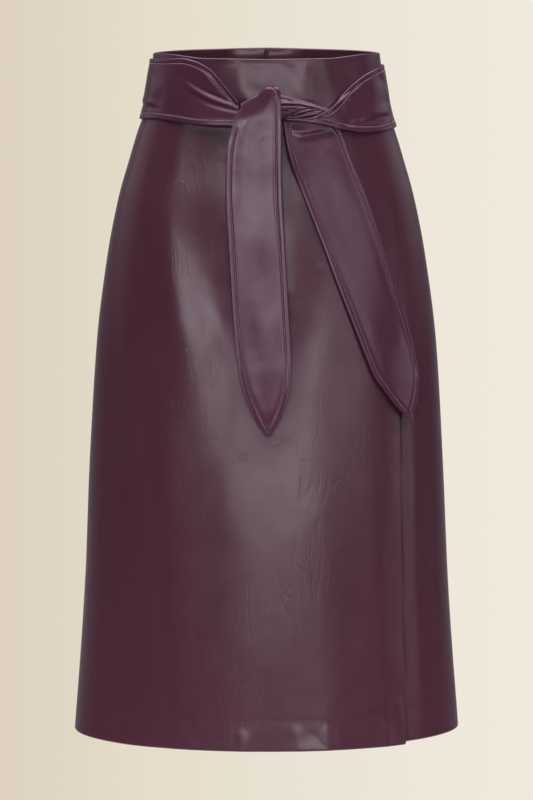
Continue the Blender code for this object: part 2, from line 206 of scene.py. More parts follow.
# ---- Skirt panels ------------------------------------------------------------------------------------------
# The front wrap, the layer under it and the two back panels are cut from PU-coated faux leather with a
# brushed knit backing. They meet in pressed-open side and back seams, the hem is turned up 35 mm and caught
# by hand, and the free edge of the wrap has a 30 mm facing of its own leather.

FORM = table(
    "height half_width front_depth back_depth fullness",
    (-0.738, 0.2196, 0.1650, 0.1650, 0.015),
    (-0.580, 0.2080, 0.1530, 0.1580, 0.030),
    (-0.420, 0.2008, 0.1400, 0.1500, 0.045),
    (-0.290, 0.1925, 0.1265, 0.1440, 0.060),
    (-0.200, 0.1809, 0.1165, 0.1375, 0.060),
    (-0.130, 0.1674, 0.1090, 0.1265, 0.060),
    (-0.085, 0.1546, 0.1045, 0.1150, 0.060),
    (-0.055, 0.1456, 0.1010, 0.1075, 0.060),
    (-0.030, 0.1368, 0.0980, 0.1010, 0.060),
    (+0.000, 0.1318, 0.0945, 0.0955, 0.060),
    (+0.033, 0.1272, 0.0912, 0.0912, 0.060),
    (+0.040, 0.1265, 0.0904, 0.0904, 0.060),
)
TOP_EDGE = table(
    "bearing height",
    (0, 0.0283),
    (32, 0.0292),
    (45, 0.0315),
    (60, 0.0336),
    (90, 0.0338),
    (135, 0.0362),
    (180, 0.0380),
)
WRAP_EDGE = table(
    "height across",
    (-0.738, 0.1576),
    (-0.580, 0.1525),
    (-0.370, 0.1492),
    (-0.200, 0.1468),
    (-0.120, 0.1437),
    (-0.060, 0.1408),
    (-0.030, 0.1345),
)
BAND_WIDTH = 0.066
SEAM_GAP = 0.0003
SEAM_BITE = 0.0001
HEM_HEIGHT = -0.7375
UNDER_HEM_HEIGHT = -0.7345
WALL = 0.0015
HEM_TURN_UP = 0.035
FACING_WIDTH = 0.030
UNDERLAP = 0.110
UNDER_SINK = 0.0034


def smooth(points):
    """A function through (x, y) points in rising x, which turns softly and never overshoots them."""
    xs, ys = np.array(points, float).T
    rises = np.diff(ys) / np.diff(xs)
    product = rises[:-1] * rises[1:]
    total = np.where(product > 0, rises[:-1] + rises[1:], 1.0)
    slopes = np.concatenate((rises[:1], np.where(product > 0, 2 * product / total, 0.0), rises[-1:]))

    def at(x):
        x = np.clip(x, xs[0], xs[-1])
        k = np.clip(np.searchsorted(xs, x, side="right") - 1, 0, len(xs) - 2)
        span = xs[k + 1] - xs[k]
        t = (x - xs[k]) / span
        rest = 1 - t
        ends = rest * rest * (1 + 2 * t) * ys[k] + t * t * (1 + 2 * rest) * ys[k + 1]
        return ends + t * rest * span * (rest * slopes[k] - t * slopes[k + 1])

    return at


def columns(rows, at=None):
    """A smooth function for each column of a table, over its first column or over the places in at."""
    places = [row[0] for row in rows] if at is None else at
    return {name: smooth(list(zip(places, column))) for name, column in zip(rows[0]._fields, zip(*rows))}


form = columns(FORM)
top_edge_by_bearing = smooth(TOP_EDGE)
wrap_edge_across = smooth(WRAP_EDGE)


def ease(x):
    x = np.clip(x, 0.0, 1.0)
    return x * x * (3 - 2 * x)


def mix(a, b, t):
    return a + (b - a) * t


def section_point(bearing, height):
    angle = np.radians(bearing)
    sine, cosine = np.sin(angle), np.cos(angle)
    depth = np.where(cosine >= 0, form["front_depth"](height), form["back_depth"](height))
    swell = 1 + form["fullness"](height) * sine**2
    x, y = form["half_width"](height) * sine, -depth * cosine * swell
    return np.stack(np.broadcast_arrays(x, y, height), axis=-1)


def on_form(bearing, height, out):
    """Points on the skirt's outer face, moved out from it squarely."""
    along = section_point(bearing + 0.01, height) - section_point(bearing - 0.01, height)
    down = section_point(bearing, height - 0.0001) - section_point(bearing, height + 0.0001)
    normal = np.cross(down, along)
    normal /= np.linalg.norm(normal, axis=-1, keepdims=True)
    return section_point(bearing, height) + normal * np.asarray(out)[..., None]


def metres_per_degree(bearing, height):
    ends = section_point(bearing + 0.5, height), section_point(bearing - 0.5, height)
    return np.linalg.norm(ends[0] - ends[1], axis=-1)


def top_edge(bearing):
    return top_edge_by_bearing(np.abs((bearing + 180) % 360 - 180))


def band_seam(bearing):
    return top_edge(bearing) - BAND_WIDTH


def wrap_edge(height):
    """The bearing of the wrap's free edge."""
    return np.degrees(np.arcsin(wrap_edge_across(height) / form["half_width"](height)))


def under_start(height):
    return wrap_edge(height) - UNDERLAP / metres_per_degree(0.6 * wrap_edge(height), height)


def seam_at(bearing, side):
    """The edge of a piece at a seam. The two edges press into each other a little, so the seam is closed."""
    return lambda height: bearing - side * SEAM_BITE / metres_per_degree(bearing, height)


ROLLED_EDGE = np.array((0.0, 0.0001, 0.0004, 0.0008, 0.0013, 0.0020, 0.0032))
LAYER_END = np.array((-0.0014, -0.0005, 0.0, 0.0005, 0.0014))


def stations(length, pitch, rims=(True, True), extra=(), close=ROLLED_EDGE):
    """Shares of a length, a pitch apart, and close together where an edge is rolled or a layer ends."""
    at = np.linspace(0.0, length, math.ceil(length / pitch) + 1)
    keep = np.ones(len(at), bool)
    if rims[0]:
        keep &= at > close[-1] + 0.3 * pitch
    if rims[1]:
        keep &= at < length - close[-1] - 0.3 * pitch
    for place in extra:
        keep &= np.abs(at - place) > 0.0022
    added = [place + LAYER_END for place in extra]
    added += [close] if rims[0] else []
    added += [length - close] if rims[1] else []
    return np.unique(np.concatenate([at[keep], *added]).round(7)) / length


def rolled(distance, radius):
    """How full a rounded edge is, from 0 at the very edge to 1 a radius in from it."""
    t = np.clip(distance / radius, 0.0, 1.0)
    return np.sqrt(t * (2 - t))


def bump(distance, middle, width):
    return np.exp(-(((distance - middle) / width) ** 2))


def fold(*stops, lean=0.0):
    """A fold along a line of stops. Each is a bearing in degrees, then in mm a height, how far it stands out
    (a hollow is negative) and how far it fades. A fold that leans is steep on one side and soft on the other.
    """
    places = np.array(stops, float)
    places[:, 1] /= 1000
    return places, lean


def relief(bearing, height, folds):
    """How far folds move each point out. Each follows a smooth line through its stops."""
    per_degree = metres_per_degree(bearing, height)
    out = np.zeros(np.shape(per_degree))
    for stops, lean in folds:
        steps = np.diff(stops[:, :2] * (0.002, 1.0), axis=0)
        run = np.concatenate(([0.0], np.cumsum(np.hypot(*steps.T))))
        fine = np.unique(np.concatenate([np.linspace(a, b, 4) for a, b in zip(run, run[1:])]))
        line = np.stack([smooth(list(zip(run, value)))(fine) for value in stops.T], axis=-1)
        nearest = np.full(out.shape, np.inf)
        depth_there = np.zeros(out.shape)
        for (b0, h0, d0, w0), (b1, h1, d1, w1) in zip(line, line[1:]):
            along, down = (bearing - b0) * per_degree, height - h0
            run_here, fall = (b1 - b0) * per_degree, h1 - h0
            t = np.clip((along * run_here + down * fall) / (run_here**2 + fall**2), 0.0, 1.0)
            away = np.hypot(along - t * run_here, down - t * fall)
            side = np.sign(along * fall - down * run_here)
            q = away / (mix(w0, w1, t) / 1000 * (1 + lean * side))
            closer = q < nearest
            nearest = np.where(closer, q, nearest)
            depth_there = np.where(closer, mix(d0, d1, t) / 1000, depth_there)
        out += depth_there * np.exp(-nearest * nearest)
    return out


def drape(bearing, height, folds):
    """The same for broad folds that run down the cloth, which go on beyond their last stop."""
    per_degree = metres_per_degree(bearing, height)
    out = np.zeros(np.shape(per_degree))
    for stops, lean in folds:
        place, depth, width = (smooth(stops[::-1, (1, k)])(height) for k in (0, 2, 3))
        away = (bearing - place) * per_degree
        q = away / (width / 1000 * (1 + lean * np.sign(away)))
        out += depth / 1000 * np.exp(-q * q)
    return out


def unevenness(points, size, depth, seed, stretch=1.0):
    """Soft swells and hollows of about this size, drawn out down the cloth."""
    tall = size * stretch
    flat = [noise.noise((x / size + seed, y / size, z / tall)) for x, y, z in points.reshape(-1, 3).tolist()]
    return np.array(flat).reshape(points.shape[:-1]) * depth


def cloth(name, outer, inner, flat_ends=(False, False)):
    """A closed sheet between two grids of points that meet along their borders. A flat end is a cut face."""
    rows, count = outer.shape[:2]
    first, last = (0 if flat_ends[0] else 1), (count if flat_ends[1] else count - 1)
    face = np.arange(rows * count).reshape(rows, count)
    back = face.copy()
    back[1:-1, first:last] = rows * count + np.arange((rows - 2) * (last - first)).reshape(rows - 2, -1)
    points = np.concatenate((outer.reshape(-1, 3), inner[1:-1, first:last].reshape(-1, 3)))

    def quads(grid):
        corners = (grid[:-1, :-1], grid[1:, :-1], grid[1:, 1:], grid[:-1, 1:])
        return np.stack(corners, axis=-1).reshape(-1, 4)

    faces = quads(face).tolist() + quads(back)[:, ::-1].tolist()
    for flat, k, turn in ((flat_ends[0], 0, -1), (flat_ends[1], count - 1, 1)):
        if flat:
            ring = [(face[i, k], face[i + 1, k], back[i + 1, k], back[i, k]) for i in range(rows - 1)]
            faces += [[int(v) for j, v in enumerate(f[::turn]) if v != f[::turn][j - 1]] for f in ring]
    mesh = bpy.data.meshes.new(name)
    mesh.from_pydata(points.tolist(), [], faces)

    # Its UVs are metres across and down the cloth, for the knit and the tape's weave.
    across, down = np.zeros((rows, count)), np.zeros((rows, count))
    across[:, 1:] = np.cumsum(np.linalg.norm(np.diff(outer, axis=1), axis=-1), axis=1)
    down[1:] = np.cumsum(np.linalg.norm(np.diff(outer, axis=0), axis=-1), axis=0)
    place = np.stack((across, -down), axis=-1)
    place = np.concatenate((place.reshape(-1, 2), place[1:-1, first:last].reshape(-1, 2)))
    corner = np.empty(len(mesh.loops), int)
    mesh.loops.foreach_get("vertex_index", corner)
    mesh.uv_layers.new(name="cloth").data.foreach_set("uv", place[corner].ravel())
    mesh.shade_smooth()
    if any(flat_ends):
        mesh.set_sharp_from_angle(angle=math.radians(75))
    return add_object(name, mesh)


def bump_node(tree, height, distance, strength=1.0, over=None):
    inputs = {"Height": height, "Distance": distance, "Strength": strength}
    return add_node(tree, "Bump", inputs | ({"Normal": over} if over else {}))


def wave_node(tree, place, scale, direction, distortion=0.0):
    inputs = {"Vector": place, "Scale": scale, "Distortion": distortion}
    return add_node(tree, "TexWave", inputs, 1, bands_direction=direction)


def faux_leather(name, dark, light, roughness, tint, crease_depth, seed):
    """PU-coated faux leather: embossed fine grain, a semi-gloss film and faint creases down the cloth."""
    material, tree, shader = new_material(name)
    place = add_node(tree, "TexCoord", out="Object")
    moved = add_node(tree, "VectorMath", {0: place, 1: (seed, seed, seed)}, operation="ADD")
    # The dye varies over some 60 mm and the film over some 20, so colour and gloss are not quite even.
    colour = dyed(tree, noise_node(tree, moved, 16.0, 3.0), dark, light)
    gloss = ranged(tree, noise_node(tree, moved, 45.0, 4.0), 0.3, 0.7, roughness, roughness + 0.05)
    # Creases 1.5 mm wide, 11 mm apart and 80 mm long, bent and broken up so that they come and go.
    bend = {0: noise_node(tree, moved, 30.0, 2.0, "Color"), 1: (0.010, 0.010, 0.010), 2: moved}
    shifted = add_node(tree, "VectorMath", bend, operation="MULTIPLY_ADD")
    stretched = add_node(tree, "Mapping", {"Vector": shifted, "Scale": (90.0, 90.0, 12.0)})
    lines = add_node(tree, "TexVoronoi", {"Vector": stretched, "Scale": 1.0}, feature="DISTANCE_TO_EDGE")
    line_depth = ranged(tree, lines, 0.0, 0.07, 0.0, 1.0)
    away = ranged(tree, noise_node(tree, moved, 22.0, 2.0), 0.46, 0.58, 1.0, 0.0)
    creases = maths(tree, "MAXIMUM", line_depth, away)
    # Slack in the cloth, drawn out down it, and the embossed grain. The grain is 0.5 mm on the real cloth and
    # is drawn 1.2 mm, so that it shows at all.
    drawn_out = add_node(tree, "Mapping", {"Vector": moved, "Scale": (60.0, 60.0, 22.0)})
    slack = bump_node(tree, noise_node(tree, drawn_out, 1.0, 2.0), 0.0002)
    creased = bump_node(tree, creases, crease_depth, over=slack)
    grain = add_node(tree, "TexVoronoi", {"Vector": moved, "Scale": 830.0})
    grained = bump_node(tree, grain, 0.00002, over=creased)
    set_inputs(shader, {"Base Color": colour, "Roughness": gloss, "Normal": grained, "IOR": 1.5})
    # The film is dyed too, which keeps a little of the plum in its highlights.
    set_inputs(shader, {"Specular Tint": (1.0, 1.0 - tint, 1.0 - tint / 2, 1.0)})
    return material


skirt_leather = faux_leather("plum_faux_leather", "#462532", "#4c2937", 0.20, 0.05, 0.00006, 0.0)

# The brushed knit on the back of the leather is dull and a little fuzzy. Its columns of loops are 0.9 mm
# apart on the real cloth and are drawn 1.8 mm apart.
knit_backing, tree, shader = new_material("knit_backing")
place = add_node(tree, "UVMap", uv_map="cloth")
ribs = wave_node(tree, place, 1100.0 / math.tau, "X")
loops = wave_node(tree, place, 900.0 / math.tau, "Y")
yarn = dyed(tree, noise_node(tree, place, 260.0, 4.0), "#2c1a1f", "#41282e")
nap = bump_node(tree, maths(tree, "MULTIPLY", ribs, loops), 0.0002, 0.8)
set_inputs(shader, {"Base Color": yarn, "Normal": nap, "Roughness": 0.9, "Sheen Weight": 0.25})


def wall(bearing, height, out, thickness, full):
    """The outer and inner points of a wall whose outer face is at out, and which closes where full is 0."""
    middle = out - thickness / 2
    outer = on_form(bearing, height, mix(middle, out, full))
    return outer, on_form(bearing, height, mix(middle, out - thickness, full))


def panel(name, node, start, end, drapes, dents, seed, hem=HEM_HEIGHT, sink=None, wrap=False):
    """A skirt panel between two edges, whose bearings depend on the height. The wrap's free edge is faced."""
    pitch = 0.0029 if wrap else 0.0039
    corner, edge_radius, hem_radius, layer_step = 0.003, 0.0011, 0.0018, 0.001
    nominal_top = float(band_seam(0.0))
    length = nominal_top - hem
    widest = float((end(hem) - start(hem)) * metres_per_degree(40.0, hem))
    down = stations(length, pitch, extra=(length - HEM_TURN_UP, length - 0.010, length - 0.020))[:, None]
    over = stations(widest, pitch, extra=(widest - FACING_WIDTH,) if wrap else ())[None, :]
    level = mix(nominal_top, hem, down)
    bearing = mix(start(level), end(level), over)
    per_degree = metres_per_degree(bearing, level)
    from_start, from_end = (bearing - start(level)) * per_degree, (end(level) - bearing) * per_degree
    lift = corner - np.sqrt(corner**2 - np.clip(corner - from_end, 0.0, corner) ** 2) if wrap else 0.0
    height = mix(band_seam(bearing) - SEAM_GAP, hem + lift, down)
    from_top, from_hem = down * length, (1 - down) * length
    turned_up = ease((HEM_TURN_UP - from_hem) / layer_step + 0.5)
    faced = ease((FACING_WIDTH - from_end) / layer_step + 0.5) if wrap else 0.0
    doubled = np.maximum(turned_up, faced) + 0 * bearing
    out = drape(bearing, height, drapes) + relief(bearing, height, dents)
    out = out - (sink(bearing, level) if sink else 0.0)
    points = section_point(bearing, height)
    swells = unevenness(points, 0.050, 0.0006, seed, 3.5) + unevenness(points, 0.020, 0.0001, seed + 7, 2.5)
    # The hem is caught inside, which dents it along a line, and its fold is plumper than the single cloth.
    line = HEM_TURN_UP + unevenness(points, 0.03, 0.0006, seed + 3)
    caught = -0.00003 * bump(from_hem, line, 0.0022) + 0.0001 * ease((HEM_TURN_UP - from_hem) / 0.014)
    out = out + swells * ease(from_top / 0.05) + caught
    edge = np.minimum(np.minimum(from_start, from_end), from_top)
    full = rolled(edge, edge_radius) * rolled(from_hem, hem_radius)
    obj = cloth(name, *wall(bearing, height, out, WALL * (1 + doubled), full))
    obj.data.materials.append(skirt_leather)
    obj.data.materials.append(knit_backing)
    # The knit shows on the back wherever the cloth is single.
    single = doubled < 0.5
    knit = (single[:-1, :-1] & single[1:, 1:]).ravel()
    index = np.zeros(len(obj.data.polygons), int)
    index[knit.size : 2 * knit.size] = knit
    obj.data.polygons.foreach_set("material_index", index)
    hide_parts(node)
    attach(obj, "skirt")


# The folds of the front: broad soft ones down the hip, the hollow between the belt ends, and small dents
# where the hem is caught.
front_drapes = (
    fold((0, -50, 4, 110), (0, -300, 4, 110), (0, -460, 4, 110), (0, -600, 1.5, 110), (0, -740, -3, 110)),
    fold((2, -50, -9.5, 56), (2, -160, -10.5, 54), (1, -240, -7.5, 46), (0, -310, -4, 34), (0, -380, -1, 30),
        (-1, -460, 0, 18)),
    fold((-50, -100, 0, 24), (-38, -170, 1.8, 26), (-30, -250, 2.4, 24), (-22, -340, 1.4, 24),
        (-15, -440, 0.6, 20), (-10, -520, 0, 18)),
    fold((-58, -240, 0, 16), (-53, -380, 0.9, 18), (-51, -520, 1, 18), (-47, -700, 0.5, 16)),
    fold((-46, -270, 0, 12), (-43, -370, -0.9, 13), (-38, -470, -1.1, 13), (-32, -660, -0.7, 12)),
    fold((-25, -50, -7, 34), (-23, -120, -4.4, 32), (-19, -190, 0.2, 26), (-14, -260, 2.4, 20),
        (-10, -330, 1, 16), (-10, -420, 0, 14)),
    fold((6, -50, 1.6, 10), (6.4, -100, 2.6, 10), (6.8, -150, 3.2, 10), (7, -185, 2.2, 10),
        (7.2, -230, 0, 10)),
    fold((17, -130, 0, 26), (19, -180, 0.9, 27), (20, -240, 0.9, 27), (20, -310, 0, 26)),
    fold((22, -280, 0, 14), (26, -420, -0.7, 16), (28, -580, -0.7, 16), (28, -700, -0.4, 12)),
    fold((34, -420, 0, 12), (37, -550, 0.6, 12), (38, -700, 0.5, 10)),
)
front_dents = (
    fold((-4, -410, 0, 20), (-1, -408.5, 0.35, 26), (3.5, -408.5, 0.35, 26), (7.5, -410, 0, 20), lean=0.3),
    fold((-6.5, -712, 0, 7), (-6.7, -722, 0.7, 7), (-6.9, -737, 1, 8)),
    fold((-8.9, -700, 0, 2.5), (-9.3, -720, -0.25, 2.5), (-9.5, -737, -0.2, 3)),
    fold((11.8, -739, 0.9, 13), (16.5, -739, 1.1, 15)),
    fold((9, -708, 0, 5), (9.2, -718, 0.6, 6), (9.6, -737, 0.7, 7)),
    fold((7.7, -716, -0.2, 2.5), (7.9, -736, -0.4, 3)),
    fold((13.2, -712, 0, 2.5), (15, -724, -0.35, 2.5), (17.2, -734, -0.4, 3)),
    fold((17.9, -707, 0, 4), (18.1, -718, 0.6, 5), (18.4, -737, 0.5, 5)),
    fold((19.3, -702, 0, 3), (20, -714, -0.5, 3), (20.4, -736, -0.3, 4), lean=0.2),
    fold((37.6, -709, 0, 6), (38.2, -720, 0.6, 6), (38.9, -737, 0.8, 7)),
    fold((33.8, -698, -0.4, 3), (34.2, -726, -0.2, 4)),
    fold((43, -690, 0.5, 4), (43.8, -710, 0.3, 4)),
    fold((-24, -702.5, -0.3, 6), (-22, -724, -0.2, 7)),
    fold((-37, -701, -0.3, 7), (-36, -726, -0.2, 7)),
    fold((-62, -700, -0.3, 6), (-61, -726, -0.2, 7)),
    # Fine creases where the film has wrinkled, below the hanging ends.
    fold((-10, -396, 0, 2.8), (-9.4, -408, -0.2, 2.8), (-8.7, -421, 0, 2.8)),
    fold((-7.4, -386, 0, 2.8), (-6.7, -398, -0.2, 2.8), (-6, -409, 0, 2.8)),
    fold((2.7, -420, 0, 2.8), (4.2, -437, -0.15, 2.8), (4.4, -457, -0.2, 2.8), (3.8, -488, 0, 2.8)),
    fold((12.4, -408, 0, 2.8), (11.3, -437, -0.2, 2.8), (10.3, -486, 0, 2.8)),
    fold((8.5, -494, 0, 2.8), (8.6, -512, -0.2, 2.8), (8.9, -533, 0, 2.8)),
    fold((17.4, -473, 0, 3), (15.8, -489, -0.2, 3), (17.9, -520, 0, 3)),
    fold((13.4, -534, 0, 2.8), (14.4, -553, -0.2, 2.8), (16.2, -584, 0, 2.8)),
    fold((9, -605, 0, 2.8), (8.7, -625, -0.2, 2.8), (9.3, -650, 0, 2.8)),
)
panel("front_wrap_panel", "wrap_front", seam_at(-90, 1), wrap_edge, front_drapes, front_dents,
    seed=1.0, wrap=True)


def under_sink(bearing, height):
    """The under layer follows the wrap behind it, dips beside its edge and comes forward to the side seam."""
    beyond = bearing - wrap_edge(height)
    past_edge = beyond * metres_per_degree(bearing, height)
    dip = 0.0009 * bump(past_edge, 0.0006, 0.0014)
    followed = drape(bearing, height, front_drapes[:2]) * ease(-past_edge / 0.040)
    return UNDER_SINK * (1 - ease(beyond / (90 - wrap_edge(height)))) + dip - followed


under_drapes = (
    fold((56, -200, 0, 12), (56, -400, 0.8, 12), (55, -620, 0.7, 12), (54, -720, 0.3, 10)),
    fold((67, -220, 0, 10), (68, -420, -0.9, 12), (67, -600, -0.8, 12), (66, -720, -0.2, 10)),
)
under_dents = (
    fold((60, -700, -0.5, 5), (60, -720, -0.2, 5)),
    fold((74, -699, -0.4, 6), (75, -720, -0.2, 6)),
)
panel("front_under_panel", "under_front", under_start, seam_at(90, -1), under_drapes, under_dents,
    seed=2.0, hem=UNDER_HEM_HEIGHT, sink=under_sink)

back_left_drapes = (
    fold((112, -180, 0, 16), (110, -340, 1.2, 18), (108, -520, 1.3, 18), (106, -710, 0.6, 16)),
    fold((124, -200, 0, 14), (123, -360, -1.3, 14), (121, -520, -1.4, 14), (119, -700, -0.6, 12)),
    fold((150, -240, 0, 18), (152, -400, 0.9, 20), (151, -600, 0.9, 20), (150, -720, 0.4, 16)),
    fold((163, -300, 0, 10), (160, -440, -0.8, 12), (161, -620, -0.5, 12), (162, -720, 0, 10), lean=0.2),
)
back_left_dents = (
    fold((173, -190, -0.9, 7), (166, -212, -0.7, 9), (156, -222, 0, 9), lean=0.2),
    fold((174, -232, -0.6, 7), (168, -250, -0.4, 8), (161, -256, 0, 8), lean=0.2),
    fold((96, -85, -0.5, 6), (104, -104, -0.7, 8), (116, -112, 0, 9)),
    fold((104, -703, -0.4, 6), (105, -726, -0.2, 6)),
    fold((133, -702, -0.6, 5), (134, -722, -0.3, 6)),
    fold((158, -703, -0.5, 5), (159, -728, -0.2, 6)),
    fold((171, -701, -0.6, 4), (170, -718, -0.3, 5)),
)
back_right_drapes = (
    fold((214, -200, 0, 18), (216, -360, 1, 18), (218, -540, 1.1, 18), (220, -710, 0.4, 16)),
    fold((232, -180, 0, 14), (235, -340, -1.3, 14), (238, -520, -1.4, 15), (240, -700, -0.5, 13)),
    fold((250, -220, 0, 16), (251, -380, 1.2, 16), (253, -560, 1, 16), (254, -710, 0.3, 14)),
    fold((198, -320, 0, 11), (201, -460, -0.9, 12), (200, -640, -0.6, 12), (199, -720, 0, 10), lean=-0.2),
)
back_right_dents = (
    fold((187, -200, -0.8, 7), (196, -226, -0.7, 9), (206, -236, 0, 9), lean=-0.2),
    fold((186, -246, -0.5, 7), (193, -262, -0.4, 8), (200, -268, 0, 8), lean=-0.2),
    fold((264, -80, -0.6, 6), (255, -100, -0.7, 8), (243, -106, 0, 9)),
    fold((187, -702, -0.5, 5), (188, -724, -0.2, 5)),
    fold((205, -703, -0.5, 6), (206, -726, -0.3, 6)),
    fold((228, -701, -0.6, 5), (227, -720, -0.3, 6)),
    fold((257, -702, -0.4, 6), (258, -724, -0.2, 7)),
)
panel("back_panel_left", "back_left", seam_at(90, 1), seam_at(180, -1), back_left_drapes, back_left_dents,
    seed=3.0)
panel("back_panel_right", "back_right", seam_at(180, 1), seam_at(270, -1), back_right_drapes,
    back_right_dents, seed=4.0)


# ---- Waistband ---------------------------------------------------------------------------------------------
# A band 66 mm wide, doubled over interfacing, so it is stiffer than the skirt and faced with leather inside.
# It is sewn on in three lengths that meet at the side seams and part at the zip.

BAND_PROUD = 0.0008
BAND_WALL = 0.0032
BAND_PER_DEGREE = 0.0019
TURNED_IN = 0.0095
LEAN_FROM = -0.038
BAND_LEAN = table(
    "bearing slope",
    (-52, 0.0),
    (-38, 0.02),
    (-28, 0.05),
    (-20, 0.08),
    (-13, 0.075),
    (-8, 0.06),
    (-2, 0.045),
    (4, 0.035),
    (12, 0.045),
    (20, 0.07),
    (28, 0.06),
    (38, 0.02),
    (52, 0.0),
)
band_lean = smooth(BAND_LEAN)


def band_out(bearing, height, folds):
    """How far out the band is. It is stiffer than the waist is curved, so its front leans less than that."""
    return BAND_PROUD + relief(bearing, height, folds) + band_lean(bearing) * (height - LEAN_FROM)


def waistband(name, node, start, end, folds, seed, drapes=()):
    down = stations(BAND_WIDTH, 0.0022, extra=(TURNED_IN,))[:, None]
    over = stations((end - start) * BAND_PER_DEGREE, 0.0030)[None, :]
    first, last = float(seam_at(start, 1)(0.0)), float(seam_at(end, -1)(0.0))
    bearing = mix(first, last, over) + 0 * down
    height = top_edge(bearing) - BAND_WIDTH * down
    per_degree = metres_per_degree(bearing, 0.0)
    sideways = np.minimum((bearing - first) * per_degree, (last - bearing) * per_degree)
    ends = np.minimum(down, 1 - down) * BAND_WIDTH
    # The turned-in edge of the facing shows through as a low ridge 9.5 mm below the top.
    out = band_out(bearing, height, folds) + 0.00002 * bump(down * BAND_WIDTH, TURNED_IN, 0.0012)
    # Behind the belt its lower edge draws in to the panel it is sewn to.
    out = out + drape(bearing, band_seam(bearing), drapes) * ease((-0.016 - height) / 0.020)
    out = out + unevenness(section_point(bearing, height), 0.03, 0.0004, seed) * ease(ends / 0.006)
    full = rolled(ends, 0.0012) * rolled(sideways, 0.0010)
    obj = cloth(name, *wall(bearing, height, out, BAND_WALL, full))
    obj.data.materials.append(skirt_leather)
    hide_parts(node)
    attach(obj, "skirt")


front_band_folds = (
    fold((-13, 22.5, 0, 3), (-11, 22.5, 0.14, 3.2), (0, 22.2, 0.16, 3.2), (8, 22.5, 0.14, 3.2),
        (10, 22.5, 0, 3)),
    fold((-17, 28, 1.2, 15), (-14, 12, 1.8, 15), (-11, -4, 1.8, 14), (-9, -16, 1.2, 13)),
    fold((8, 26, 0.5, 9), (11, 12, 0.9, 10), (15, -4, 0.9, 10), (18, -14, 0.5, 9)),
    fold((-6, 10, 0, 3), (-4, 2, -0.15, 3), (-3, -6, 0, 3)),
)
left_band_folds = (
    fold((158, 40, 0, 9), (167, 40, 1.6, 8), (173, 40, 2, 7), (178, 40, 2.2, 7)),
    fold((128, 20, 0, 7), (140, 26, -0.5, 7), (150, 30, 0, 7)),
)
right_band_folds = (
    fold((183, 40, 1.6, 7), (194, 40, 1.8, 8), (204, 40, 0, 9)),
    fold((222, 28, 0, 7), (234, 22, -0.5, 7), (246, 16, 0, 7)),
)
waistband("front_waistband", "waistband_front", -90, 90, front_band_folds, 5.0, front_drapes)
waistband("back_waistband_left", "waistband_back_left", 90, 180, left_band_folds, 6.0)
waistband("back_waistband_right", "waistband_back_right", 180, 270, right_band_folds, 7.0)


# ---- Tie belt round the waist ------------------------------------------------------------------------------
# One long strip of the same leather, 67 mm wide, doubled and turned, then topstitched 6 mm in from both
# edges. It goes round the waist over the band and bunches where it runs into the knot.

belt_leather = faux_leather("plum_faux_leather_belt", "#462434", "#4d2a39", 0.15, 0.12, 0.00003, 5.0)
BELT_WIDTH = 0.067
BELT_LIFT = 0.0014
BELT_WALL = 0.0026
BELT_PER_DEGREE = 0.0021
STITCHED_IN = 0.0060
ROUND = "bearing upper lower lift thickness"
BELT_BACK = table(
    ROUND,
    (90, 0.0204, -0.0500, BELT_LIFT, BELT_WALL),
    (135, 0.0198, -0.0505, BELT_LIFT, BELT_WALL),
    (180, 0.0200, -0.0495, BELT_LIFT, BELT_WALL),
    (225, 0.0230, -0.0465, BELT_LIFT, BELT_WALL),
    (270, 0.0272, -0.0420, BELT_LIFT, BELT_WALL),
)
BELT_RIGHT = table(
    ROUND,
    (-90, 0.0272, -0.0420, BELT_LIFT, BELT_WALL),
    (-62, 0.0276, -0.0400, BELT_LIFT, BELT_WALL),
    (-46, 0.0288, -0.0418, BELT_LIFT, BELT_WALL),
    (-37, 0.0255, -0.0442, BELT_LIFT, 0.0030),
    (-28, 0.0168, -0.0458, BELT_LIFT, 0.0036),
    (-20, -0.0010, -0.0464, BELT_LIFT, 0.0044),
    (-12.6, -0.0205, -0.0465, BELT_LIFT, 0.0052),
)
BELT_LEFT = table(
    ROUND,
    (8, -0.0378, -0.0394, 0.0047, 0.0034),
    (17, -0.0376, -0.0420, 0.0047, 0.0038),
    (27, -0.0305, -0.0462, 0.0047, 0.0040),
    (33, -0.0215, -0.0500, 0.0047, 0.0036),
    (39, -0.0090, -0.0525, 0.0047, 0.0032),
    (47, 0.0020, -0.0545, 0.0024, BELT_WALL),
    (58, 0.0115, -0.0545, BELT_LIFT, BELT_WALL),
    (75, 0.0185, -0.0520, BELT_LIFT, BELT_WALL),
    (90, 0.0204, -0.0500, BELT_LIFT, BELT_WALL),
)
SEWN_EDGE = np.array((0, 0.0001, 0.0004, 0.0008, 0.0013, 0.0020, 0.0027, 0.0034, 0.0041, 0.0047, 0.0052,
    0.0055, 0.0058, 0.0061, 0.0064, 0.0068, 0.0073, 0.0079, 0.0086, 0.0095, 0.0107, 0.0122))


def sewn_edge(distance, plump=1.0):
    """Topstitching pulls a groove into the doubled leather, with a plump roll outside and a lip inside."""
    roll = 0.0002 * plump * bump(distance, 0.0030, 0.0016)
    groove = -0.0010 * math.sqrt(plump) * bump(distance, STITCHED_IN, 0.0008)
    lip = 0.0003 * plump**3 * bump(distance, 0.0079, 0.0013)
    return roll + groove + lip


